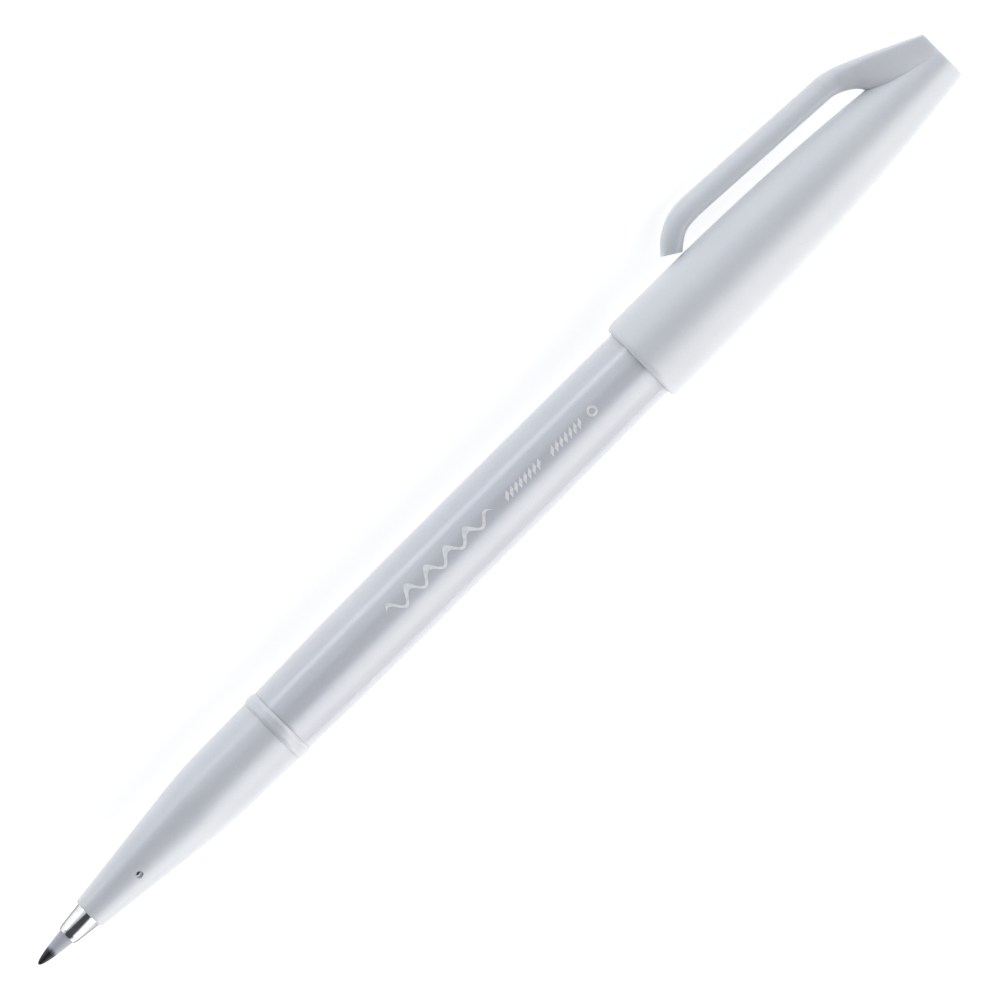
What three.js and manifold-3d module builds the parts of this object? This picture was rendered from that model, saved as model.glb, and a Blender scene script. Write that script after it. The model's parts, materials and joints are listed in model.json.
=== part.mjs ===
// A brush-tip calligraphy marker with its snap cap pushed onto the tail, lying on a table on its clip.
// Millimetres. Every piece is drawn in the pen's own frame, where a station is the distance from the
// nib's point towards the tail, and the whole pen is then laid down: +X towards the nib, +Z up.
import * as THREE from "three";
import { mergeVertices } from "three/addons/utils/BufferGeometryUtils.js";
import Module from "manifold-3d";

const wasm = await Module();
wasm.setup();

// ---- driving dimensions, mm ----
const PEN_LENGTH = 157.1; // nib point to cap end, cap on the tail
const REST_ROLL = 23.1; // degrees the clip points below the horizontal when the pen lies on it

// stations along the pen
const FERRULE_FRONT = 4.9;
const NOSE_FRONT = 8.7;
const COLLAR_START = 40.5;
const COLLAR_END = 42.2;
const TAIL_END = 125.5;
const CAP_MOUTH = 104.2;

// radii
const NIB_RADIUS = 1.08;
const NIB_STEM_RADIUS = 1.0;
const FERRULE_MOUTH_RADIUS = 1.22;
const FERRULE_RADIUS = 1.8;
const COLLAR_RADIUS = 4.93;
const BARREL_RADIUS = 5.1; // at its widest
const TAIL_RADIUS = 4.72;
const CAP_RADIUS = 5.86;
const CAP_END_RADIUS = 2.95;

const WALL = 0.8; // moulded wall of the barrel and the nose
const CAP_WALL = 0.75;
const GAP = 0.3; // between faces that meet
const SLIP = 0.12; // radial play between pieces that slide or plug into each other

// nib
const NIB_PIVOT = 4.3; // station where the soft tip bends
const NIB_TAPER = 0.45; // power of the ogive
const MOUTH_EDGE = [5.02, 1.3]; // rounded edge of the ferrule's mouth
const MOUTH_SHOULDER = [5.4, 1.4];

// nose section
const CONE_FRONT = [9.5, 2.27];
const CONE_REAR = [27.2, 4.36];
const NOSE_SHOULDER = [30.1, 4.57];
const NOSE_CURVE = [28.9, 4.55]; // pulls the cone round into the shoulder
const NOSE_REAR_RADIUS = 4.72;
const NOSE_TUNNEL = 2.35; // clears the holder's neck
const NOSE_FUNNEL = 3.1; // the bore's radius just behind the holder
const SPIGOT_LENGTH = 8;
const SPIGOT_RADIUS = 3.82;
const VENT_STATION = 16.6;
const VENT_RADIUS = 0.45;
const VENT_ANGLE = -109; // degrees round the pen from the clip

// ink system
const FEED_RADIUS = 0.75;
const STEM_END = 15.5;
const FEED_END = 52;
const HOLDER_START = 17.2;
const HOLDER_END = 33;
const HOLDER_NECK = 1.7;
const HOLDER_FLANGE = 2.55;
const AIR_SLOTS = 4;
const AIR_SLOT = [1.6, 0.6]; // height and width
const RESERVOIR_START = COLLAR_END + 9.5;
const RESERVOIR_END = 115;
const RESERVOIR_RADIUS = 3.7;
const FILM_WALL = 0.2;

// barrel
const BARREL_WIDEST = 74; // station
const BARREL_FRONT_RADIUS = 4.74;
const BARREL_BORE = 4.04;
const PLUG_DEPTH = 8;

// cap
const CAP_CURVE_START = 108; // where the cap's side starts to curve in
const CAP_CURVE_POWER = 2.37;
const CAP_BORE_END = 151.8;
const LINER_START = 126.9; // the inner cap that seals on the nose
const LINER_LIP_RADIUS = 3.25;
const LINER_END = 148.2;
const LINER_WALL = 0.6;

// clip, with radii measured from the pen's axis
const ARM_WIDTH = 3.8;
const ARM_THICKNESS = 3.1;
const ARM_FRONT = [121.4, 7.62]; // inner face, foot end
const ARM_REAR = [143.6, 6.56]; // inner face, root end
const FOOT_CORNER = [115.2, 7.5];
const FOOT_POINT = [117.65, 6.02];
const FOOT_CURVE = 118.6; // pulls the arm's outer face down to the foot
const ARM_EDGE = 0.8; // rounding along the arm
const ROOT_FRONT = [146.4, 9.1]; // outer face of the root, next to the arm
const ROOT_REAR_HEIGHT = 4.02;
const ROOT_HALF_WIDTH = 3.15;
const ROOT_ARCH = [147.6, 3.6]; // where the arch under the root meets the cap
const ROOT_WIDENING = [146.6, 148.2, 149.6]; // stations over which the root widens from the arm
const CLIP_SPLIT = 144.4; // the arm flexes about here

const FINE = 48; // facets round the large pieces
const SMALL = 32; // facets round the slim ones
const BORE_STEPS = 6;

// ---- materials ----
const plastic = (color, roughness) => new THREE.MeshStandardMaterial({ color, roughness, metalness: 0.1 });
const BARREL_PLASTIC = plastic(0xc9ccd6, 0.3);
const NOSE_PLASTIC = plastic(0xc7cad4, 0.42);
const CAP_PLASTIC = plastic(0xcbcfd8, 0.42);
const INNER_PLASTIC = plastic(0xe4e5e8, 0.5);
const STEEL = new THREE.MeshStandardMaterial({ color: 0xd9dade, roughness: 0.12, metalness: 1 });
const NIB_RUBBER = new THREE.MeshStandardMaterial({ color: 0x8d919c, roughness: 0.6, metalness: 0 });
const FIBRE = new THREE.MeshStandardMaterial({ color: 0xa9acb6, roughness: 0.95, metalness: 0 });
const FILM = new THREE.MeshStandardMaterial({ color: 0xeceef2, roughness: 0.2, metalness: 0 });

// ---- helpers ----

// A closed geometry as a manifold-3d solid.
function solidOf(geometry) {
  const bare = new THREE.BufferGeometry();
  bare.setAttribute("position", geometry.getAttribute("position").clone());
  bare.setIndex(geometry.getIndex());
  const merged = mergeVertices(bare, 1e-4);
  const triangles = [];
  const index = merged.index.array;
  for (let i = 0; i < index.length; i += 3) {
    const [a, b, c] = [index[i], index[i + 1], index[i + 2]];
    if (a !== b && b !== c && c !== a) triangles.push(a, b, c);
  }
  const vertProperties = merged.attributes.position.array;
  const mesh = new wasm.Mesh({ numProp: 3, vertProperties, triVerts: new Uint32Array(triangles) });
  return new wasm.Manifold(mesh);
}

// A manifold-3d solid as a geometry.
function geometryOf(solid) {
  const mesh = solid.getMesh();
  const geometry = new THREE.BufferGeometry();
  geometry.setAttribute("position", new THREE.BufferAttribute(new Float32Array(mesh.vertProperties), 3));
  geometry.setIndex(new THREE.BufferAttribute(new Uint32Array(mesh.triVerts), 1));
  return geometry;
}

// Turns an outline of [station, radius] points about the pen's axis. The outline runs along the outside
// towards the tail and back along the inside, and starts and ends on the axis or is closed here.
function turned(outline, facets = FINE) {
  const points = outline.map(([station, radius]) => new THREE.Vector2(radius, -station));
  const onAxis = outline[0][1] === 0 && outline[outline.length - 1][1] === 0;
  if (!onAxis) points.push(points[0].clone());
  return new THREE.LatheGeometry(points.reverse(), facets).rotateZ(-Math.PI / 2);
}

// Pushes a side outline of [station, height from the axis] points out to a width across the clip.
function plate(outline, width, edge = 0) {
  const shape = new THREE.Shape(outline.map(([station, height]) => new THREE.Vector2(-station, height)));
  const geometry = new THREE.ExtrudeGeometry(shape, {
    depth: width - 2 * edge,
    bevelEnabled: edge > 0,
    bevelThickness: edge,
    bevelSize: edge,
    bevelOffset: -edge,
    bevelSegments: 3,
    curveSegments: 12,
  });
  return geometry.translate(0, 0, -(width - 2 * edge) / 2);
}

// Points on a quadratic curve from one corner to another, bent towards a third.
function bend(from, control, to, steps = 6) {
  const curve = new THREE.QuadraticBezierCurve(
    new THREE.Vector2(...from),
    new THREE.Vector2(...control),
    new THREE.Vector2(...to),
  );
  return curve.getPoints(steps).map(({ x, y }) => [x, y]);
}

// Points from one station to another on a radius given by a function.
function along(start, end, steps, radiusAt) {
  return Array.from({ length: steps + 1 }, (_, i) => {
    const station = start + ((end - start) * i) / steps;
    return [station, radiusAt(station)];
  });
}

const pen = new THREE.Group();

function add(name, geometry, material) {
  const mesh = new THREE.Mesh(geometry, material);
  mesh.name = name;
  pen.add(mesh);
}

// ---- pen body ----

// The soft tip outside the ferrule, with a ball at its rear so that it can bend without touching.
function nibFront() {
  const ogive = (station) => NIB_RADIUS * (station / FERRULE_FRONT) ** NIB_TAPER;
  const ball = ogive(NIB_PIVOT);
  const front = [0, 0.06, 0.25, 0.6, 1.2, 2.0, 3.0, NIB_PIVOT].map((s) => [s, ogive(s)]);
  const rear = [0.25, 0.5, 0.75, 1].map((part) => {
    const angle = (part * Math.PI) / 2;
    return [NIB_PIVOT + ball * Math.sin(angle), part === 1 ? 0 : ball * Math.cos(angle)];
  });
  return turned([...front, ...rear], SMALL);
}

// The rest of the nib, gripped by the ferrule.
function nibStem() {
  const start = NIB_PIVOT + NIB_RADIUS + GAP / 2;
  return turned([[start, 0], [start, NIB_STEM_RADIUS], [STEM_END, NIB_STEM_RADIUS], [STEM_END, 0]], SMALL);
}

// Plated sleeve with a crimped mouth, tapered outside and straight where it sits in the nose.
function tipFerrule() {
  const bore = NIB_STEM_RADIUS + SLIP;
  const rear = STEM_END - 1;
  const seat = FERRULE_RADIUS - 0.02;
  return turned(
    [
      [FERRULE_FRONT, FERRULE_MOUTH_RADIUS],
      MOUTH_EDGE,
      MOUTH_SHOULDER,
      [NOSE_FRONT, FERRULE_RADIUS],
      [NOSE_FRONT + GAP, seat],
      [rear, seat],
      [rear, bore],
      [FERRULE_FRONT, bore],
    ],
    SMALL,
  );
}

// Tapered grip, with the spigot that plugs into the barrel, and an air vent.
function noseSection() {
  const seat = FERRULE_RADIUS + SLIP;
  const spigot = SPIGOT_RADIUS;
  const spigotEnd = COLLAR_END + SPIGOT_LENGTH;
  const outline = [
    [NOSE_FRONT, seat],
    [NOSE_FRONT, CONE_FRONT[1] - 0.35],
    [NOSE_FRONT + 0.12, CONE_FRONT[1] - 0.19],
    [NOSE_FRONT + 0.35, CONE_FRONT[1] - 0.08],
    CONE_FRONT,
    ...bend(CONE_REAR, NOSE_CURVE, NOSE_SHOULDER, 4),
    [COLLAR_START - 0.25, NOSE_REAR_RADIUS],
    [COLLAR_START - 0.1, NOSE_REAR_RADIUS - 0.15],
    [COLLAR_START - 0.1, spigot],
    [spigotEnd - 0.4, spigot],
    [spigotEnd, spigot - 0.3],
    [spigotEnd, spigot - WALL],
    [HOLDER_END + 1, NOSE_FUNNEL],
    [HOLDER_START + 3.4, NOSE_TUNNEL],
    [STEM_END, NOSE_TUNNEL - 0.25],
    [STEM_END, seat],
  ];
  const vent = new THREE.CylinderGeometry(VENT_RADIUS, VENT_RADIUS, 4, 16);
  vent.translate(0, 3.6, 0).rotateX(THREE.MathUtils.degToRad(VENT_ANGLE)).translate(-VENT_STATION, 0, 0);
  return geometryOf(solidOf(turned(outline)).subtract(solidOf(vent)));
}

// Ring held between the nose and the barrel.
function collarRing() {
  const bore = SPIGOT_RADIUS + SLIP;
  return turned([
    [COLLAR_START, bore],
    [COLLAR_START, COLLAR_RADIUS - 0.15],
    [COLLAR_START + 0.15, COLLAR_RADIUS],
    [COLLAR_END - 0.15, COLLAR_RADIUS],
    [COLLAR_END, COLLAR_RADIUS - 0.15],
    [COLLAR_END, bore],
  ]);
}

// Collar inside the nose that centres the feed rod, with slots along it that let air past.
function nibHolder() {
  const bore = FEED_RADIUS + SLIP;
  const body = solidOf(
    turned(
      [
        [HOLDER_START, bore],
        [HOLDER_START, HOLDER_NECK - 0.2],
        [HOLDER_START + 0.4, HOLDER_NECK],
        [HOLDER_END - 6, HOLDER_NECK],
        [HOLDER_END - 5, HOLDER_FLANGE],
        [HOLDER_END, HOLDER_FLANGE],
        [HOLDER_END, bore],
      ],
      SMALL,
    ),
  );
  const floor = HOLDER_NECK - 0.3;
  const [height, width] = AIR_SLOT;
  let cut = body;
  for (let i = 0; i < AIR_SLOTS; i++) {
    const slot = new THREE.BoxGeometry(HOLDER_END - HOLDER_START + 2, height, width);
    slot.translate(-(HOLDER_START + HOLDER_END) / 2, floor + height / 2, 0);
    slot.rotateX((i * 2 * Math.PI) / AIR_SLOTS);
    cut = cut.subtract(solidOf(slot));
  }
  return geometryOf(cut);
}

function feedRod() {
  const start = STEM_END + GAP;
  return turned(
    [[start, 0], [start + 0.5, FEED_RADIUS], [FEED_END, FEED_RADIUS], [FEED_END + 1.2, 0]],
    16,
  );
}

// Bundled fibre that holds the ink, bored at the front for the feed rod.
function inkReservoir() {
  const bore = FEED_RADIUS + SLIP;
  const boreEnd = FEED_END + 1.6;
  return turned(
    [
      [boreEnd, 0],
      [boreEnd, bore],
      [RESERVOIR_START, bore],
      [RESERVOIR_START, RESERVOIR_RADIUS - 0.3],
      [RESERVOIR_START + 0.3, RESERVOIR_RADIUS],
      [RESERVOIR_END - 0.3, RESERVOIR_RADIUS],
      [RESERVOIR_END, RESERVOIR_RADIUS - 0.3],
      [RESERVOIR_END, 0],
    ],
    FINE,
  );
}

function reservoirFilm() {
  const inner = RESERVOIR_RADIUS + SLIP;
  const outer = inner + FILM_WALL;
  const [front, rear] = [RESERVOIR_START + 0.2, RESERVOIR_END - 0.2];
  return turned([[front, inner], [front, outer], [rear, outer], [rear, inner]]);
}

// The barrel's outside: it swells to its middle and draws in towards the tail.
function barrelRadius(station) {
  const front = (BARREL_WIDEST - station) / (BARREL_WIDEST - COLLAR_END);
  const rear = (station - BARREL_WIDEST) / (TAIL_END - BARREL_WIDEST);
  if (front > 0) return BARREL_RADIUS - (BARREL_RADIUS - BARREL_FRONT_RADIUS) * front ** 3;
  return BARREL_RADIUS - (BARREL_RADIUS - TAIL_RADIUS) * rear ** 1.8;
}

function barrelTube() {
  const start = COLLAR_END + 0.1;
  const rearBore = TAIL_RADIUS - WALL + 0.2;
  const side = along(start + 0.15, TAIL_END - 0.5, 16, barrelRadius);
  return turned([
    [start, BARREL_BORE],
    [start, barrelRadius(start) - 0.12],
    ...side,
    [TAIL_END - 0.15, TAIL_RADIUS - 0.16],
    [TAIL_END, TAIL_RADIUS - 0.45],
    [TAIL_END, rearBore],
    [TAIL_END - PLUG_DEPTH - 1, rearBore],
    [TAIL_END - PLUG_DEPTH - 1.4, BARREL_BORE],
  ]);
}

// Stopper pressed into the tail, with a shallow dimple in its end.
function tailPlug() {
  const body = TAIL_RADIUS - WALL + 0.2 - SLIP;
  const head = TAIL_END + 0.05;
  return turned([
    [TAIL_END - PLUG_DEPTH, 0],
    [TAIL_END - PLUG_DEPTH, body - 0.5],
    [TAIL_END - PLUG_DEPTH + 0.5, body],
    [head - 0.3, body],
    [head, body - 0.3],
    [head, 1.5],
    [head - 0.4, 1.1],
    [head - 0.4, 0],
  ]);
}

// ---- cap ----

function capRadius(station) {
  const part = Math.max(0, station - CAP_CURVE_START) / (PEN_LENGTH - CAP_CURVE_START);
  return CAP_RADIUS - (CAP_RADIUS - CAP_END_RADIUS) * part ** CAP_CURVE_POWER;
}

// Radius of the cap's bore: open for the tail, then following the outside to a narrow end.
const capBore = (station) => capRadius(station) - CAP_WALL;

function boreOutline() {
  const shoulder = LINER_END + 0.6;
  return [
    [CAP_MOUTH - 1, capBore(CAP_MOUTH) + 0.05],
    ...along(CAP_MOUTH + 0.5, shoulder, 12, capBore),
    [shoulder + 0.5, 1.9],
    [CAP_BORE_END, 1.8],
    [CAP_BORE_END, 0],
  ];
}

// Root of the clip: as wide as the cap's end, sunk into the cap, and rising to meet the arm.
function clipRoot() {
  const split = CLIP_SPLIT + GAP / 2;
  const top = armOuter(split);
  const side = [
    [split, armInner(split)],
    ...bend([split + 0.5, armInner(split) - 0.06], [ROOT_FRONT[0], armInner(ROOT_FRONT[0])], ROOT_ARCH, 6),
    [ROOT_ARCH[0] + 1.4, 0],
    [PEN_LENGTH, 0],
    [PEN_LENGTH, ROOT_REAR_HEIGHT - 0.2],
    [PEN_LENGTH - 0.25, ROOT_REAR_HEIGHT],
    ...bend(ROOT_FRONT, [ROOT_FRONT[0] - 0.8, ROOT_FRONT[1] + 0.4], [split, top], 4),
  ];
  const [narrow, flare, full] = ROOT_WIDENING;
  const taper = [
    [split - 1, ARM_WIDTH / 2],
    [split + 0.4, ARM_WIDTH / 2 + 0.02],
    [narrow, ARM_WIDTH / 2 + 0.2],
    [flare, ROOT_HALF_WIDTH - 0.3],
    [full, ROOT_HALF_WIDTH],
    [PEN_LENGTH + 1, CAP_END_RADIUS - 0.02],
  ];
  const plan = [...taper, ...taper.map(([s, w]) => [s, -w]).reverse()];
  const outline = solidOf(plate(plan, 4 * ROOT_FRONT[1]).rotateX(Math.PI / 2));
  return solidOf(plate(side, 2 * ROOT_HALF_WIDTH + 1)).intersect(outline);
}

// Shell of the cap with the clip's root moulded on, open at its mouth.
function capShell() {
  const outside = [
    [CAP_MOUTH, 0],
    [CAP_MOUTH, CAP_RADIUS - 0.6],
    [CAP_MOUTH + 0.18, CAP_RADIUS - 0.18],
    [CAP_MOUTH + 0.6, CAP_RADIUS],
    ...along(CAP_CURVE_START, PEN_LENGTH - 0.25, 14, capRadius),
    [PEN_LENGTH, CAP_END_RADIUS - 0.25],
    [PEN_LENGTH, 0],
  ];
  const bore = solidOf(turned([[CAP_MOUTH - 1, 0], ...boreOutline()]));
  return geometryOf(solidOf(turned(outside)).add(clipRoot()).subtract(bore));
}

// Liner that closes round the nose when the cap is on the front, and stops the tail at the back.
function innerCap() {
  const floor = LINER_END - LINER_WALL;
  const outer = (station) => capBore(station) - SLIP;
  const hollow = (station) => Math.min(LINER_LIP_RADIUS, outer(station) - LINER_WALL);
  return turned([
    [floor, 0],
    ...along(floor, LINER_START + 0.4, BORE_STEPS, hollow),
    [LINER_START, LINER_LIP_RADIUS + 0.3],
    ...along(LINER_START, LINER_END, BORE_STEPS, outer),
    [LINER_END, 0],
  ]);
}

// ---- clip arm ----

const slope = (ARM_REAR[1] - ARM_FRONT[1]) / (ARM_REAR[0] - ARM_FRONT[0]);
const armInner = (station) => ARM_FRONT[1] + slope * (station - ARM_FRONT[0]);
const armOuter = (station) => armInner(station) + ARM_THICKNESS;

// Long arm that runs beside the cap and hooks down to a bevelled foot.
function clipArm() {
  const end = CLIP_SPLIT - GAP / 2;
  const bendStart = ARM_FRONT[0] + 1.1;
  const outline = [
    FOOT_CORNER,
    FOOT_POINT,
    ...bend([ARM_FRONT[0] - 1.9, ARM_FRONT[1] - 0.22], [ARM_FRONT[0] - 1.5, ARM_FRONT[1] + 0.08], ARM_FRONT, 3),
    [end, armInner(end)],
    [end, armOuter(end)],
    ...bend([bendStart, armOuter(bendStart)], [FOOT_CURVE, armOuter(FOOT_CURVE)], FOOT_CORNER, 7).slice(0, -1),
  ];
  return plate(outline, ARM_WIDTH, ARM_EDGE);
}

add("nib_front", nibFront(), NIB_RUBBER);
add("nib_stem", nibStem(), NIB_RUBBER);
add("tip_ferrule", tipFerrule(), STEEL);
add("nose_section", noseSection(), NOSE_PLASTIC);
add("collar_ring", collarRing(), NOSE_PLASTIC);
add("nib_holder", nibHolder(), INNER_PLASTIC);
add("feed_rod", feedRod(), FIBRE);
add("ink_reservoir", inkReservoir(), FIBRE);
add("reservoir_film", reservoirFilm(), FILM);
add("barrel_tube", barrelTube(), BARREL_PLASTIC);
add("tail_plug", tailPlug(), BARREL_PLASTIC);
add("cap_shell", capShell(), CAP_PLASTIC);
add("inner_cap", innerCap(), INNER_PLASTIC);
add("clip_arm", clipArm(), CAP_PLASTIC);

// The clip points along +Y in the pen's frame. Roll it down until it rests on the table beside the cap.
pen.rotation.x = Math.PI + THREE.MathUtils.degToRad(REST_ROLL);

// Put the origin under the middle of the pen, on the table.
const marker = new THREE.Group();
marker.add(pen);
const box = new THREE.Box3().setFromObject(marker, true);
const middle = box.getCenter(new THREE.Vector3());
pen.position.set(-middle.x, -middle.y, -box.min.z);

export default marker;
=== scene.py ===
import json
import math

import bmesh
import bpy
from mathutils import Matrix, Vector


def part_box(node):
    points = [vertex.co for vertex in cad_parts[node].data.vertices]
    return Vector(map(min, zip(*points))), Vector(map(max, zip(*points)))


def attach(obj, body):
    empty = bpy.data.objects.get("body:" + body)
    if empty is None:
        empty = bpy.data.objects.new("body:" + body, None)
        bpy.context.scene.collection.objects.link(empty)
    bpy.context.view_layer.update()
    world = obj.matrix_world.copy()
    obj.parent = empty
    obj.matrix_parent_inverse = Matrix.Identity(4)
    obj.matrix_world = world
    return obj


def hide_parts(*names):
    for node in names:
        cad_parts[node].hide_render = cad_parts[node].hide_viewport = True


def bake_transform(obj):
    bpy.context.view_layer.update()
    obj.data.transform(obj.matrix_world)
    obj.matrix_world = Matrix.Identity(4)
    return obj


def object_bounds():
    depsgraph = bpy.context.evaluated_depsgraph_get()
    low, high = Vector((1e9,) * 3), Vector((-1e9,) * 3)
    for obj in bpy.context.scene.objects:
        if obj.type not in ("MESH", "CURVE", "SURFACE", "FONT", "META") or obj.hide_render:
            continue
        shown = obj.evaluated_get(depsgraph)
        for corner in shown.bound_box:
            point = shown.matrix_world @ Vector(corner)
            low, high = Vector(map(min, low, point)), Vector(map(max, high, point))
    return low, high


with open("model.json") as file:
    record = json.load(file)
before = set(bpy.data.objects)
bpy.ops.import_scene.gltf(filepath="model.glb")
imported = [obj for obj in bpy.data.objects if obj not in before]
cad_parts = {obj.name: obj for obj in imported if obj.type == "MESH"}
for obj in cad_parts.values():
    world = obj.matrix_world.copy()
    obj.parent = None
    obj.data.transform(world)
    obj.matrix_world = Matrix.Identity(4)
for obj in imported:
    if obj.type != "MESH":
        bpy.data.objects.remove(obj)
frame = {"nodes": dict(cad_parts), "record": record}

# A brush-tip calligraphy marker lying on a pale table, its cap pushed onto its tail.
# Sizes are in millimetres, and a station is a distance along the pen from the nib's point.
MM = 0.001
SEGMENTS = 160  # facets round the large pieces
FINE = 96  # facets round the slim ones
SMOOTH_ANGLE = math.radians(32)

cad_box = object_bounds()
TIP_X = cad_box[1].x


def span(node):
    """Front and rear stations of a CAD node."""
    low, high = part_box(node)
    return (TIP_X - high.x) / MM, (TIP_X - low.x) / MM


def reach(node):
    """Largest radius of a round CAD node, a hair inside its facets."""
    low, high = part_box(node)
    return (high.z - low.z) / 2 / MM - 0.005


# ---- the pen's own directions ----
barrel_low, barrel_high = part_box("barrel_tube")
AXIS = (barrel_low + barrel_high) / 2
TAILWARD = Vector((-1, 0, 0))
flex = next(j for j in frame["record"]["behaviour"]["joints"] if j["name"] == "clip_flex")
FACEWARD = -Vector(flex["axis"]).normalized()  # square to the plane that the clip lies in
CLIPWARD = FACEWARD.cross(TAILWARD)

# ---- stations and radii ----
FERRULE_FRONT, FERRULE_REAR = span("tip_ferrule")
NOSE_FRONT, NOSE_REAR = span("nose_section")
COLLAR_START, COLLAR_END = span("collar_ring")
BARREL_START, TAIL_END = span("barrel_tube")
CAP_MOUTH, PEN_END = span("cap_shell")
LINER_START, LINER_END = span("inner_cap")
PLUG_START, PLUG_END = span("tail_plug")

VENT_STATION = 16.6
VENT_RADIUS = 0.45
VENT_ANGLE = math.radians(-19)  # from the open side, away from the clip

NIB_RADIUS = 1.08
FERRULE_RADIUS = reach("tip_ferrule")
NOSE_RADIUS = reach("nose_section")
COLLAR_RADIUS = reach("collar_ring")
BARREL_RADIUS = reach("barrel_tube")
CAP_RADIUS = reach("cap_shell")
PLUG_RADIUS = reach("tail_plug")
BARREL_FRONT_RADIUS = 4.74
BARREL_WIDEST = 74  # station
TAIL_RADIUS = 4.72
SPIGOT_RADIUS = 3.82  # the nose's plug inside the barrel
CAP_END_RADIUS = 2.95
CAP_CURVE_START = CAP_MOUTH + 3.8
CAP_CURVE_POWER = 2.37
CAP_WALL = 0.75
LINER_WALL = 0.6
SLIP = 0.12  # between the cap and its liner


def place(station, height=0.0, side=0.0):
    """A point at a station, so far out towards the clip and so far towards the open side."""
    middle = Vector((TIP_X, AXIS.y, AXIS.z))
    return middle + MM * (TAILWARD * station + CLIPWARD * height + FACEWARD * side)


def around(station, radius, angle):
    """A point on a circle round the pen, its angle taken from the open side towards the clip."""
    return place(station, radius * math.sin(angle), radius * math.cos(angle))


def along(start, end, steps, radius_at):
    """Profile points between two stations on a radius given by a function."""
    stations = [start + (end - start) * i / steps for i in range(steps + 1)]
    return [(station, radius_at(station), 0) for station in stations]


def rounded(corners, closed=False, steps=6):
    """Profile points from (station, radius, rounding) corners, each rounding drawn as a small curve."""
    points = []
    for i, (station, radius, rounding) in enumerate(corners):
        corner = Vector((station, radius))
        ends = not closed and i in (0, len(corners) - 1)
        if rounding == 0 or ends:
            points.append(corner)
            continue
        before = Vector(corners[i - 1][:2]) - corner
        after = Vector(corners[(i + 1) % len(corners)][:2]) - corner
        first = corner + before.normalized() * min(rounding, before.length / 2)
        last = corner + after.normalized() * min(rounding, after.length / 2)
        for k in range(steps + 1):
            t = k / steps
            points.append(first * (1 - t) ** 2 + corner * (2 * t * (1 - t)) + last * t**2)
    return points


# ---- mesh helpers ----


def finish_mesh(bm, name):
    """An object from a bmesh, shaded smooth except over sharp edges."""
    bmesh.ops.recalc_face_normals(bm, faces=bm.faces)
    mesh = bpy.data.meshes.new(name)
    bm.to_mesh(mesh)
    bm.free()
    obj = bpy.data.objects.new(name, mesh)
    bpy.context.scene.collection.objects.link(obj)
    shade(obj)
    return obj


def shade(obj):
    obj.data.shade_smooth()
    obj.data.set_sharp_from_angle(angle=SMOOTH_ANGLE)


def bridge(bm, first, second):
    """Faces between two rings of vertices, either of which may be a single point."""
    count = max(len(first), len(second))
    for k in range(count):
        m = (k + 1) % count
        corners = [first[k % len(first)], first[m % len(first)]]
        corners += [second[m % len(second)], second[k % len(second)]]
        bm.faces.new(list(dict.fromkeys(corners)))


def lathe(name, corners, closed=False, segments=SEGMENTS):
    """Turns a profile about the pen's axis. A closed profile is a ring that stays off the axis."""
    bm = bmesh.new()
    rings = []
    for station, radius in rounded(corners, closed):
        if radius < 1e-6:
            rings.append([bm.verts.new(place(station))])
            continue
        turn = 2 * math.pi / segments
        rings.append([bm.verts.new(around(station, radius, k * turn)) for k in range(segments)])
    for first, second in zip(rings, rings[1:]):
        bridge(bm, first, second)
    if closed:
        bridge(bm, rings[-1], rings[0])
    return finish_mesh(bm, name)


def combine(obj, tool, operation):
    """Cuts or joins obj with another closed mesh, which is used up."""
    modifier = obj.modifiers.new("combine", "BOOLEAN")
    modifier.operation = operation
    modifier.solver = "EXACT"
    modifier.object = tool
    bpy.context.view_layer.update()
    evaluated = obj.evaluated_get(bpy.context.evaluated_depsgraph_get())
    mesh = bpy.data.meshes.new_from_object(evaluated)
    obj.modifiers.clear()
    obj.data = mesh
    bpy.data.objects.remove(tool)
    shade(obj)


# ---- the clip: sections from its foot, along the arm and down the root to the cap's end ----

ARM_HEIGHT = 10.66  # of its outer face, at its front station
ARM_FRONT = 123
ARM_SLOPE = -0.058  # height gained per millimetre towards the tail
ARM_THICKNESS = 3.05
ARM_HALF_WIDTH = 1.85
ARM_SQUARENESS = 2.1
ARM_BELLY = -0.5
INNER_SQUARENESS = 2.9
SEAM_STATION = 146.3  # the arm ends here and the root begins
SLICES = 7  # from each section to the next


def smooth_between(a, b, c, d, t):
    """The value a share t of the way from b to c on a smooth curve through a, b, c and d."""
    square = 2 * a - 5 * b + 4 * c - d
    cube = 3 * (b - c) + d - a
    return b + 0.5 * t * ((c - a) + t * (square + t * cube))


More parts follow.
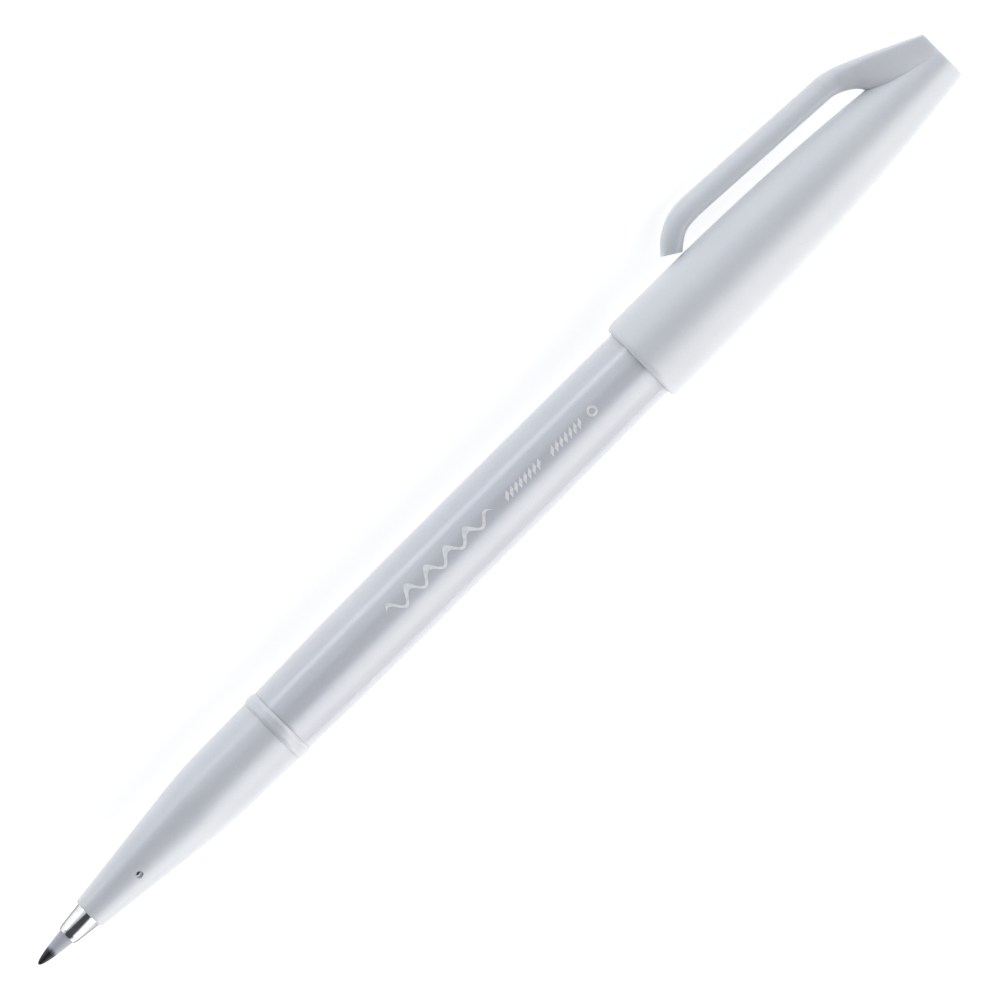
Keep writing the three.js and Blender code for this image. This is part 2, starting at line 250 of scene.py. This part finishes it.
class Section:
    """A slice of the clip, domed outside and squarer inside.

    It has outer and inner points, half its width, the squareness of its dome, and the level
    where it is widest, from -1 at the inner point to 1 at the outer one.
    """

    def __init__(self, outer, inner, half_width, squareness, belly):
        self.values = [*outer, *inner, half_width, squareness, belly]

    def mixed(self, before, after, beyond, t):
        """A slice on the smooth curve from this one to the next, given its neighbours."""
        result = Section((0, 0), (0, 0), 0, 0, 0)
        values = zip(before.values, self.values, after.values, beyond.values)
        result.values = [smooth_between(*row, t) for row in values]
        return result

    def loop(self, inset=0.0, push=0.0, count=48):
        """Points round the slice, drawn in by an inset and pushed off along the clip."""
        outer_s, outer_h, inner_s, inner_h, half_width, squareness, belly = self.values
        outer = Vector((outer_s, outer_h))
        inner = Vector((inner_s, inner_h))
        up = (outer - inner).normalized()
        middle = (outer + inner) / 2 + Vector((-up.y, up.x)) * push
        half_height = (outer - inner).length / 2 - inset
        points = []
        for k in range(count):
            c, s = math.cos(2 * math.pi * k / count), math.sin(2 * math.pi * k / count)
            power = 2 / (squareness if s > 0 else INNER_SQUARENESS)
            x = math.copysign(abs(c) ** power, c) * (half_width - inset)
            y = math.copysign(abs(s) ** power, s) * (1 - belly if s > 0 else 1 + belly) + belly
            spot = middle + up * y * half_height
            points.append(place(spot.x, spot.y, x))
        return points


def arm_slice(station):
    """A slice of the straight part of the arm."""
    outer = ARM_HEIGHT + ARM_SLOPE * (station - ARM_FRONT)
    inner = outer - ARM_THICKNESS
    return Section((station, outer), (station, inner), ARM_HALF_WIDTH, ARM_SQUARENESS, ARM_BELLY)


FOOT = [
    Section((115.25, 7.5), (117.6, 6.02), 1.72, 2.8, -0.2),
    Section((116.9, 9.15), (118.55, 6.75), 1.78, 2.5, -0.35),
    Section((119.3, 10.38), (119.75, 7.42), 1.83, 2.2, -0.45),
    Section((121.6, 10.7), (121.5, 7.63), ARM_HALF_WIDTH, ARM_SQUARENESS, ARM_BELLY),
]
SEAM = Section((SEAM_STATION, 8.92), (145.6, 5.72), 2.0, 2.7, -0.15)
ARM = [
    *FOOT,
    arm_slice(124.5),
    arm_slice(134),
    arm_slice(142.6),
    Section((144.3, 9.42), (144.2, 6.3), 1.88, 2.2, -0.4),
]
ROOT = [
    Section((148.3, 8.15), (146.9, 4.75), 2.3, 3.7, 0.1),
    Section((150.6, 7.12), (148.1, 3.1), 2.85, 5.2, 0.3),
    Section((153.6, 5.68), (151.0, 0.6), 3.16, 7.5, 0.4),
    Section((PEN_END + 0.6, 3.72), (PEN_END + 0.6, -0.4), 3.0, 10.0, 0.4),
]


def smooth_sections():
    """Slices all along the clip, from its foot to past the cap's end."""
    sections = [*ARM, SEAM, *ROOT]
    padded = [sections[0], *sections, sections[-1]]
    result = []
    for before, here, after, beyond in zip(padded, padded[1:], padded[2:], padded[3:]):
        result += [here.mixed(before, after, beyond, k / SLICES) for k in range(SLICES)]
    return [*result, sections[-1]]


def loft(name, loops):
    """A closed skin over a row of loops."""
    bm = bmesh.new()
    rings = [[bm.verts.new(point) for point in loop] for loop in loops]
    for first, second in zip(rings, rings[1:]):
        bridge(bm, first, second)
    bm.faces.new(rings[0])
    bm.faces.new(rings[-1])
    return finish_mesh(bm, name)


def clip_arm():
    """The arm from its foot to the seam, with the foot's end face softly rounded."""
    foot, *rest = smooth_sections()[: len(ARM) * SLICES + 1]
    edge = 0.22
    angles = [math.pi / 2 * k / 4 for k in range(4)]
    rounding = [foot.loop(edge * (1 - math.sin(a)), edge * (1 - math.cos(a))) for a in angles]
    return loft("clip_arm_moulded", [foot.loop(edge * 3), *rounding, *(s.loop() for s in rest)])


def clip_root():
    """The root, running past the cap's end so that both can be trimmed together."""
    sections = smooth_sections()[len(ARM) * SLICES :]
    return loft("clip_root", [s.loop() for s in sections])


# ---- pieces of the pen ----


def nib():
    """Soft tip: a slim ogive that disappears into its metal sleeve."""
    hidden = FERRULE_FRONT + 3
    steps = 28
    bunching = 1.7  # more steps near the point, where it curves most
    roundness = 0.47
    profile = [(0, 0, 0)]
    for k in range(1, steps + 1):
        station = FERRULE_FRONT * (k / steps) ** bunching
        profile.append((station, NIB_RADIUS * (station / FERRULE_FRONT) ** roundness, 0))
    profile += [(hidden, NIB_RADIUS - 0.06, 0), (hidden, 0, 0)]
    return lathe("brush_nib", profile, segments=FINE)


def ferrule():
    """Bright sleeve with a rolled, bevelled mouth."""
    bore = NIB_RADIUS + 0.06
    return lathe(
        "bright_ferrule",
        [
            (FERRULE_FRONT, bore, 0.03),
            (FERRULE_FRONT, bore + 0.1, 0.05),
            (FERRULE_FRONT + 0.5, 1.4, 0.12),
            (NOSE_FRONT, FERRULE_RADIUS - 0.01, 0),
            (FERRULE_REAR, FERRULE_RADIUS - 0.02, 0),
            (FERRULE_REAR, bore, 0),
        ],
        closed=True,
        segments=FINE,
    )


def nose():
    """Tapered grip with a softened shoulder, and an air vent drilled in its side."""
    bore = FERRULE_RADIUS + 0.08
    cone_start, cone_radius = 9.5, 2.27
    shoulder, shoulder_radius = 28.4, 4.5
    tunnel_end = 15.5
    slope = (shoulder_radius - cone_radius) / (shoulder - cone_start)

    def taper(station):
        return cone_radius + (station - cone_start) * slope

    grip_end = COLLAR_START - 0.1
    piece = lathe(
        "grip_nose",
        [
            (NOSE_FRONT, bore, 0.08),
            (NOSE_FRONT, taper(NOSE_FRONT) - 0.02, 0.4),
            *along(cone_start + 0.1, 24, 48, taper),
            (shoulder, shoulder_radius, 3.2),
            (33, 4.62, 1.5),
            (grip_end, NOSE_RADIUS, 0.05),
            (grip_end, SPIGOT_RADIUS, 0),
            (NOSE_REAR, SPIGOT_RADIUS, 0.3),
            (NOSE_REAR, SPIGOT_RADIUS - 0.8, 0),
            (24, 2.6, 0),
            (tunnel_end, 2.1, 0),
            (tunnel_end, bore, 0),
        ],
        closed=True,
        segments=240,
    )
    drill_vent(piece)
    return piece


def vent_point(lengthwise, sideways, radius):
    """A point by the vent: along the pen, round it towards the clip, and out from its axis."""
    outward = around(0, 1, VENT_ANGLE) - place(0)
    sideward = outward.cross(TAILWARD)
    return place(VENT_STATION + lengthwise) + sideward * sideways + outward * radius


def drill(name, levels, count=32):
    """A round-ended cutter at the vent from (radius out, half length, half width, sideways) levels."""
    bm = bmesh.new()
    rings = []
    for radius, half_length, half_width, sideways in levels:
        angles = [2 * math.pi * k / count for k in range(count)]
        points = [
            vent_point(half_length * math.cos(a), sideways + half_width * math.sin(a), radius)
            for a in angles
        ]
        rings.append([bm.verts.new(point) for point in points])
    for first, second in zip(rings, rings[1:]):
        bridge(bm, first, second)
    bm.faces.new(rings[0])
    bm.faces.new(rings[-1])
    return finish_mesh(bm, name)


def drill_vent(piece):
    """A small recess with a slot through its floor on the side by the clip."""
    r = VENT_RADIUS
    recess = [
        (2.72, r, r, 0),
        (3.06, r, r, 0),
        (3.12, r + 0.03, r + 0.03, 0),
        (3.5, r + 0.3, r + 0.3, 0),
    ]
    slot = [(radius, 0.36, 0.17, 0.18) for radius in (1.5, 2.9)]
    combine(piece, drill("vent_recess", recess), "DIFFERENCE")
    combine(piece, drill("vent_slot", slot), "DIFFERENCE")


def collar():
    """Raised ring between the grip and the barrel."""
    bore = 3.9
    seat = NOSE_RADIUS - 0.015  # its foot runs on a little, so that each joint is a shallow groove
    run_on = 0.09
    flank = 0.3
    return lathe(
        "collar_band",
        [
            (COLLAR_START - run_on, bore, 0),
            (COLLAR_START - run_on, seat, 0),
            (COLLAR_START, seat, 0.05),
            (COLLAR_START + flank, COLLAR_RADIUS, 0.25),
            (COLLAR_END - flank, COLLAR_RADIUS, 0.25),
            (COLLAR_END, seat, 0.05),
            (COLLAR_END + run_on, seat, 0),
            (COLLAR_END + run_on, bore, 0),
        ],
        closed=True,
    )


def barrel_radius(station):
    """The barrel swells to its middle and draws in towards the tail."""
    if station < BARREL_WIDEST:
        part = (BARREL_WIDEST - station) / (BARREL_WIDEST - COLLAR_END)
        return BARREL_RADIUS - (BARREL_RADIUS - BARREL_FRONT_RADIUS) * part**3
    part = (station - BARREL_WIDEST) / (TAIL_END - BARREL_WIDEST)
    return BARREL_RADIUS - (BARREL_RADIUS - TAIL_RADIUS) * part**1.8


def barrel():
    """Open tube with a wider seat for the stopper in its tail."""
    front_bore = 4.04
    rear_bore = PLUG_RADIUS + 0.1
    seat = TAIL_END - 9
    return lathe(
        "barrel_moulded",
        [
            (BARREL_START, front_bore, 0),
            (BARREL_START, barrel_radius(BARREL_START), 0.05),
            *along(BARREL_START + 0.5, TAIL_END - 1, 64, barrel_radius),
            (TAIL_END, TAIL_RADIUS, 0.45),
            (TAIL_END, rear_bore, 0.1),
            (seat, rear_bore, 0),
            (seat - 0.4, front_bore, 0),
        ],
        closed=True,
    )


def tail_plug():
    """Stopper with a dished end and a small moulding gate in its middle."""
    return lathe(
        "tail_stopper",
        [
            (PLUG_START, 0, 0),
            (PLUG_START, PLUG_RADIUS - 0.5, 0.1),
            (PLUG_START + 0.6, PLUG_RADIUS, 0.1),
            (PLUG_END, PLUG_RADIUS, 0.3),
            (PLUG_END, 2.6, 0.25),
            (PLUG_END - 0.35, 2.2, 0.25),
            (PLUG_END - 0.45, 0.6, 0.15),
            (PLUG_END - 0.2, 0.4, 0.1),
            (PLUG_END - 0.2, 0, 0),
        ],
        segments=FINE,
    )


def cap_radius(station):
    """The cap is straight by its mouth and draws in to its end."""
    part = max(0, station - CAP_CURVE_START) / (PEN_END - CAP_CURVE_START)
    return CAP_RADIUS - (CAP_RADIUS - CAP_END_RADIUS) * part**CAP_CURVE_POWER


def cap_bore(station):
    return cap_radius(station) - CAP_WALL


def cap_lip(length=0.95, drop=0.55, steps=10):
    """Profile points round the soft outer edge of the cap's mouth."""
    points = []
    for k in range(steps + 1):
        angle = math.pi / 2 * k / steps
        station = CAP_MOUTH + length * (1 - math.cos(angle))
        points.append((station, CAP_RADIUS - drop * (1 - math.sin(angle)), 0))
    return points


def cap():
    """Cap with the clip's root moulded on, trimmed to one flat end with a soft edge."""
    floor = 151.8
    past_end = PEN_END + 0.3
    shell = lathe(
        "cap_moulded",
        [
            (floor, 0, 0),
            (floor, 1.8, 0.3),
            *along(LINER_END + 0.6, CAP_MOUTH + 1, 40, cap_bore),
            (CAP_MOUTH, cap_bore(CAP_MOUTH) + 0.05, 0.08),
            *cap_lip(),
            *along(CAP_CURVE_START, past_end, 90, cap_radius),
            (past_end, 0, 0),
        ],
    )
    combine(shell, clip_root(), "UNION")
    trim_end(shell)
    return shell


def trim_end(shell, edge=0.2):
    """Cuts the cap square at its end, fills it, and softens the rim."""
    bm = bmesh.new()
    bm.from_mesh(shell.data)
    geometry = [*bm.verts, *bm.edges, *bm.faces]
    cut = bmesh.ops.bisect_plane(
        bm, geom=geometry, plane_co=place(PEN_END), plane_no=TAILWARD, clear_outer=True
    )
    rim = [item for item in cut["geom_cut"] if isinstance(item, bmesh.types.BMEdge)]
    bmesh.ops.contextual_create(bm, geom=rim)
    bmesh.ops.bevel(bm, geom=rim, offset=edge * MM, segments=4, profile=0.5, affect="EDGES")
    bm.to_mesh(shell.data)
    bm.free()
    shade(shell)


def liner():
    """Inner cap that seals on the nose, with a flared lip."""
    lip = 3.25
    floor = LINER_END - LINER_WALL

    def outer(station):
        return cap_bore(station) - SLIP

    def hollow(station):
        return min(lip, outer(station) - LINER_WALL)

    return lathe(
        "cap_liner",
        [
            (floor, 0, 0),
            (floor, hollow(floor), 0.3),
            *along(floor - 1, LINER_START + 0.8, 18, hollow),
            (LINER_START, lip + 0.3, 0.12),
            (LINER_START, outer(LINER_START), 0.2),
            *along(LINER_START + 0.6, LINER_END - 0.6, 18, outer),
            (LINER_END, outer(LINER_END), 0.3),
            (LINER_END, 0, 0),
        ],
        segments=FINE,
    )


# ---- print on the barrel: plain brush marks, where the maker's words would be ----

PRINT_LIFT = 0.012


def on_barrel(station, arc):
    """A point on the barrel's skin, an arc's length round from the middle of the open side."""
    radius = barrel_radius(station) + PRINT_LIFT
    return around(station, radius, arc / radius)


def stroke(bm, start, end, centre, width, steps, across=6):
    """A brush mark: a ribbon round a centreline, both given as functions of the share of its length."""
    rows = []
    for i in range(steps + 1):
        t = i / steps
        station = start + (end - start) * t
        half = width(t) / 2
        offsets = [centre(t) + half * (2 * k / across - 1) for k in range(across + 1)]
        rows.append([bm.verts.new(on_barrel(station, offset)) for offset in offsets])
    for first, second in zip(rows, rows[1:]):
        for k in range(across):
            bm.faces.new([first[k], first[k + 1], second[k + 1], second[k]])


def print_marks():
    bm = bmesh.new()
    waves = 5.5

    def swell(t):
        return 0.38 + 0.55 * math.sin(math.pi * waves * t + 0.9) ** 2

    def wave(t):
        return 0.85 * math.sin(2 * math.pi * waves * t) * (1 - 0.3 * t)

    def taper(t):
        return swell(t) * min(1, 12 * t, 9 * (1 - t)) + 0.02

    stroke(bm, 60.5, 78.8, wave, taper, 200)
    for start, end in ((80.8, 87.2), (88.6, 94.7)):
        slanted_dashes(bm, start, end)
    ring_mark(bm, 95.85, 0.7, 0.3)
    return finish_mesh(bm, "brush_print")


def slanted_dashes(bm, start, end, pitch=0.78, lean=0.45, height=1.35, width=0.3):
    """A row of short leaning dashes."""

    def rise(t):
        return 0.55 * height * (t - 0.5)

    def thickness(_):
        return 0.45 * height

    for k in range(int((end - start) / pitch)):
        first = start + k * pitch
        stroke(bm, first, first + lean + width, rise, thickness, 3)


def ring_mark(bm, station, radius, width, count=40):
    """A small printed ring."""
    loops = []
    for size in (radius - width, radius):
        angles = [2 * math.pi * k / count for k in range(count)]
        points = [on_barrel(station + size * math.cos(a), size * math.sin(a)) for a in angles]
        loops.append([bm.verts.new(point) for point in points])
    bridge(bm, loops[0], loops[1])


# ---- materials ----


def srgb(code):
    """Linear colour from a web colour."""
    parts = [int(code[i : i + 2], 16) / 255 for i in (0, 2, 4)]
    return [p / 12.92 if p <= 0.04045 else ((p + 0.055) / 1.055) ** 2.4 for p in parts] + [1]


class Material:
    """A node material under construction."""

    def __init__(self, name, **sockets):
        self.material = bpy.data.materials.new(name)
        self.material.use_nodes = True
        self.tree = self.material.node_tree
        self.shader = self.tree.nodes["Principled BSDF"]
        for socket, value in sockets.items():
            self.shader.inputs[socket.replace("_", " ")].default_value = value
        coordinates = self.tree.nodes.new("ShaderNodeTexCoord")
        self.position = coordinates.outputs["Object"]

    def node(self, kind, **settings):
        made = self.tree.nodes.new(kind)
        for key, value in settings.items():
            setattr(made, key, value)
        return made

    def link(self, source, target):
        self.tree.links.new(source, target)

    def noise(self, scale, detail=3.0, stretch=(1, 1, 1)):
        """Noise over the piece, with scale in features per millimetre."""
        mapping = self.node("ShaderNodeMapping")
        mapping.inputs["Scale"].default_value = [scale * part / MM for part in stretch]
        texture = self.node("ShaderNodeTexNoise")
        texture.inputs["Scale"].default_value = 1
        texture.inputs["Detail"].default_value = detail
        self.link(self.position, mapping.inputs["Vector"])
        self.link(mapping.outputs["Vector"], texture.inputs["Vector"])
        return texture.outputs["Fac"]

    def colour(self, factor, *stops):
        """The base colour over a factor, from (position, web colour) stops."""
        ramp = self.node("ShaderNodeValToRGB")
        elements = ramp.color_ramp.elements
        for element, (position, code) in zip(elements, (stops[0], stops[-1])):
            element.position = position
            element.color = srgb(code)
        for position, code in stops[1:-1]:
            elements.new(position).color = srgb(code)
        self.link(factor, ramp.inputs["Fac"])
        self.link(ramp.outputs["Color"], self.shader.inputs["Base Color"])

    def roughness(self, factor, low, high):
        """Roughness between two values over a factor."""
        spread = self.node("ShaderNodeMapRange")
        spread.inputs["From Min"].default_value = 0.3
        spread.inputs["From Max"].default_value = 0.7
        spread.inputs["To Min"].default_value = low
        spread.inputs["To Max"].default_value = high
        self.link(factor, spread.inputs["Value"])
        self.link(spread.outputs["Result"], self.shader.inputs["Roughness"])

    def scatter(self, weight, radius, scale):
        """Light scattered under the surface, its radius in millimetres for red, green and blue."""
        self.shader.inputs["Subsurface Weight"].default_value = weight
        self.shader.inputs["Subsurface Radius"].default_value = [part * MM for part in radius]
        self.shader.inputs["Subsurface Scale"].default_value = scale

    def added(self, factor, weight, other=None):
        """A factor times a weight, plus another factor."""
        total = self.node("ShaderNodeMath", operation="MULTIPLY_ADD")
        self.link(factor, total.inputs[0])
        total.inputs[1].default_value = weight
        total.inputs[2].default_value = 0
        if other is not None:
            self.link(other, total.inputs[2])
        return total.outputs[0]

    def bump(self, height, distance, strength=1.0):
        """Relief on the surface, its depth in millimetres."""
        bump = self.node("ShaderNodeBump")
        bump.inputs["Distance"].default_value = distance * MM
        bump.inputs["Strength"].default_value = strength
        self.link(height, bump.inputs["Height"])
        self.link(bump.outputs["Normal"], self.shader.inputs["Normal"])

    def station(self, start, end):
        """0 before one station and 1 after another."""
        split = self.node("ShaderNodeSeparateXYZ")
        self.link(self.position, split.inputs["Vector"])
        spread = self.node("ShaderNodeMapRange")
        spread.inputs["From Min"].default_value = place(start).x
        spread.inputs["From Max"].default_value = place(end).x
        self.link(split.outputs["X"], spread.inputs["Value"])
        return spread.outputs["Result"]


def pearl_plastic(name, dark, light, roughness, coat):
    """Moulded pearl-grey plastic: faint flow marks, fine mica and a slightly uneven gloss."""
    m = Material(name, Metallic=0.1, IOR=1.5, Coat_Weight=coat, Coat_Roughness=0.1)
    m.scatter(0.3, (0.9, 0.9, 1.0), 1.0)
    flow = m.noise(0.12, 4, stretch=(0.35, 1, 1))
    mica = m.noise(7.0, 2)
    m.colour(m.added(mica, 0.45, m.added(flow, 0.55)), (0.3, dark), (0.7, light))
    m.roughness(m.noise(0.9, 4), roughness - 0.03, roughness + 0.04)
    m.bump(m.noise(2.2, 3), 0.004, 0.35)
    return m.material


def chrome():
    """Bright plating with a fine turned grain, and painted shade at its edges: a near-black edge tint
    darkens its reflections where it curves away.
    """
    # Painted shade: the near-black specular tint turns the grazing reflections into a dark outline round
    # the sleeve.
    m = Material("bright_plating", Metallic=1.0, Specular_Tint=(0.02, 0.02, 0.03, 1))
    m.colour(m.noise(0.8), (0.3, "dfe0e4"), (0.7, "f2f2f4"))
    m.roughness(m.noise(3.0, 2, stretch=(4, 0.3, 0.3)), 0.05, 0.11)
    m.bump(m.noise(5.0, 2, stretch=(3, 0.2, 0.2)), 0.001, 0.3)
    return m.material


def nib_material():
    """Grey elastomer with lengthwise grain, soaked black at its point."""
    m = Material("inked_nib", IOR=1.45)
    m.scatter(0.1, (0.2, 0.2, 0.25), 0.5)
    soak = m.station(1.7, 2.9)
    grain = m.noise(2.5, 3, stretch=(0.25, 2, 2))
    stops = [(0.42, "202126"), (0.62, "55575f"), (0.85, "9b9fab"), (1.0, "b3b6c0")]
    m.colour(m.added(grain, 0.35, soak), *stops)
    m.roughness(grain, 0.28, 0.42)
    m.bump(grain, 0.012, 0.5)
    return m.material


def inner_plastic():
    """Uncoloured milky plastic."""
    m = Material("milky_liner", IOR=1.5)
    m.colour(m.noise(0.3), (0.3, "dcdde2"), (0.7, "e8e9ec"))
    m.roughness(m.noise(1.0), 0.42, 0.55)
    m.bump(m.noise(3.0), 0.004, 0.3)
    return m.material


def fibre():
    """Bundled fibre, dark with ink, its strands running along the pen."""
    m = Material("ink_fibre", Roughness=0.95)
    strands = m.noise(3.0, 4, stretch=(0.05, 1, 1))
    m.colour(strands, (0.35, "24252b"), (0.7, "6b6e78"))
    m.bump(strands, 0.05, 0.8)
    return m.material


def film():
    """Thin pale film, glossier in places."""
    m = Material("clear_film", IOR=1.5)
    m.colour(m.noise(0.2), (0.3, "e4e6ea"), (0.7, "f1f2f4"))
    m.roughness(m.noise(0.6), 0.15, 0.3)
    return m.material


def print_ink():
    """Silvery ink, a little uneven where it thins."""
    m = Material("silver_print", Metallic=0.1)
    m.colour(m.noise(2.5, 4), (0.3, "e2e4e9"), (0.6, "f6f7f9"))
    m.roughness(m.noise(3.0), 0.4, 0.55)
    return m.material


def floor_material():
    """Pale matt table, lit from below like a light box."""
    m = Material("pale_table", Roughness=0.9, Specular_IOR_Level=0.1, Emission_Strength=TABLE_GLOW)
    m.shader.inputs["Emission Color"].default_value = (1, 1, 1, 1)
    m.colour(m.noise(0.02), (0.3, "b6b6b7"), (0.7, "bcbcbc"))
    return m.material


# ---- assembly ----

BARREL_PEARL = pearl_plastic("barrel_pearl", "cdd0d8", "dbdee3", 0.22, 0.4)
NOSE_PEARL = pearl_plastic("nose_pearl", "d1d4db", "dfe2e6", 0.32, 0.15)
CAP_PEARL = pearl_plastic("cap_pearl", "d6d9df", "e3e6e9", 0.42, 0.0)
LINER_PLASTIC = inner_plastic()
FIBRE = fibre()


def show(obj, material, body=None, stands_for=()):
    """Gives a piece its material, its body and the CAD nodes that it replaces."""
    obj.data.materials.clear()
    obj.data.materials.append(material)
    if body:
        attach(obj, body)
    if stands_for:
        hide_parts(*stands_for)


show(ferrule(), chrome(), "pen_body", ["tip_ferrule"])
show(nose(), NOSE_PEARL, "pen_body", ["nose_section"])
show(collar(), NOSE_PEARL, "pen_body", ["collar_ring"])
show(barrel(), BARREL_PEARL, "pen_body", ["barrel_tube"])
show(tail_plug(), BARREL_PEARL, "pen_body", ["tail_plug"])
show(print_marks(), print_ink(), "pen_body")
show(cap(), CAP_PEARL, "cap", ["cap_shell"])
show(liner(), LINER_PLASTIC, "cap", ["inner_cap"])

soft_tip = nib()
show(soft_tip, nib_material(), stands_for=["nib_front", "nib_stem"])
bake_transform(soft_tip)

arm = clip_arm()
show(arm, CAP_PEARL, stands_for=["clip_arm"])
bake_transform(arm)

for node, material in (
    ("nib_holder", LINER_PLASTIC),
    ("feed_rod", FIBRE),
    ("ink_reservoir", FIBRE),
    ("reservoir_film", film()),
):
    frame["nodes"][node].data.materials.clear()
    frame["nodes"][node].data.materials.append(material)


# ---- table, light and camera ----

WORLD_STRENGTH = 1.9
TABLE_GLOW = 0.73
TABLE_REACH = 12  # metres each way
TABLE_DROP = 0.02 * MM  # so that the table and the pen's underside stay apart


def table_top():
    bm = bmesh.new()
    bmesh.ops.create_grid(bm, x_segments=8, y_segments=8, size=TABLE_REACH)
    top = finish_mesh(bm, "table_top")
    top.location.z = -TABLE_DROP
    top.data.materials.append(floor_material())


WARM = (1.0, 0.985, 0.962)
COOL = (0.93, 0.97, 1.05)

# The surroundings by angle round the pen, in degrees from the open side towards the clip
SURROUNDINGS = [
    (-180, 0.2, WARM),
    (-108, 0.2, WARM),
    (-88, 0.42, WARM),
    (-66, 1.2, WARM),
    (-38, 1.18, WARM),
    (-26, 0.44, COOL),
    (-18, 0.04, COOL),
    (12, 0.04, COOL),
    (18, 0.32, COOL),
    (27, 0.44, COOL),
    (52, 0.62, COOL),
    (85, 0.7, WARM),
    (180, 0.7, WARM),
]
# The tipward part of a direction where the band starts and stops widening, and its widths there
BAND_WIDENING = (0.1, 0.36, 1.0, 2.6)


def studio_world():
    """Pale surroundings with a dark band overhead that runs along the pen and widens towards its tip."""
    world = bpy.data.worlds.new("studio")
    world.use_nodes = True
    tree = world.node_tree

    def make(kind, *sources, **settings):
        node = tree.nodes.new(kind)
        for key, value in settings.items():
            setattr(node, key, value)
        for socket, source in zip(node.inputs, sources):
            if isinstance(source, bpy.types.NodeSocket):
                tree.links.new(source, socket)
            else:
                socket.default_value = source
        return node

    direction = make("ShaderNodeTexCoord").outputs["Generated"]

    def part_along(way):
        dot = make("ShaderNodeVectorMath", direction, way, operation="DOT_PRODUCT")
        return dot.outputs["Value"]

    clipward = part_along(CLIPWARD)
    faceward = part_along(FACEWARD)
    tipward = part_along(-TAILWARD)
    angle = make("ShaderNodeMath", clipward, faceward, operation="ARCTAN2").outputs[0]
    widening = make("ShaderNodeMapRange", tipward, *BAND_WIDENING).outputs["Result"]
    widened = make("ShaderNodeMath", angle, widening, operation="DIVIDE").outputs[0]
    share = make("ShaderNodeMapRange", widened, -math.pi, math.pi, 0.0, 1.0).outputs["Result"]
    ramp = make("ShaderNodeValToRGB", share)
    elements = ramp.color_ramp.elements
    elements.remove(elements[1])
    for i, (degrees, level, tint) in enumerate(SURROUNDINGS):
        position = (degrees + 180) / 360
        element = elements[0] if i == 0 else elements.new(position)
        element.position = position
        element.color = (*(level * part for part in tint), 1)
    background = tree.nodes["Background"]
    tree.links.new(ramp.outputs["Color"], background.inputs["Color"])
    background.inputs["Strength"].default_value = WORLD_STRENGTH
    bpy.context.scene.world = world


def softbox(name, angle, size, power, distance=0.6):
    """A large rectangular light, so many degrees round the pen from the open side, away from the clip."""
    light = bpy.data.lights.new(name, "AREA")
    light.shape = "RECTANGLE"
    light.size, light.size_y = size
    light.energy = power
    obj = bpy.data.objects.new(name, light)
    bpy.context.scene.collection.objects.link(obj)
    centre = place(PEN_END / 2)
    turn = math.radians(angle)
    aim = (FACEWARD * math.cos(turn) - CLIPWARD * math.sin(turn)).normalized()
    side = aim.cross(TAILWARD).normalized()
    rotation = Matrix((TAILWARD, side, aim)).transposed()
    obj.matrix_world = Matrix.Translation(centre + aim * distance) @ rotation.to_4x4()
    obj.visible_camera = False


VIEW_WIDTH = 0.1225  # metres across the picture at the pen
LENS = 600
SENSOR = 36
VIEW_STATION = 80.2
VIEW_SHIFT = 0.25  # the pen's axis lies this far off the picture's middle, in mm


def camera():
    data = bpy.data.cameras.new("camera")
    data.lens = LENS
    data.sensor_width = SENSOR
    data.clip_start = 0.01
    data.clip_end = 50
    obj = bpy.data.objects.new("camera", data)
    bpy.context.scene.collection.objects.link(obj)
    right = (TAILWARD - CLIPWARD).normalized()
    up = (TAILWARD + CLIPWARD).normalized()
    distance = VIEW_WIDTH * LENS / SENSOR
    target = place(VIEW_STATION, VIEW_SHIFT)
    rotation = Matrix((right, up, FACEWARD)).transposed().to_4x4()
    obj.matrix_world = Matrix.Translation(target + FACEWARD * distance) @ rotation
    bpy.context.scene.camera = obj


table_top()
studio_world()
softbox("key_softbox", angle=76, size=(0.7, 0.6), power=0.25)
softbox("strip_softbox", angle=-62, size=(0.7, 0.22), power=0.55)
camera()
bpy.context.scene.view_settings.view_transform = "Standard"
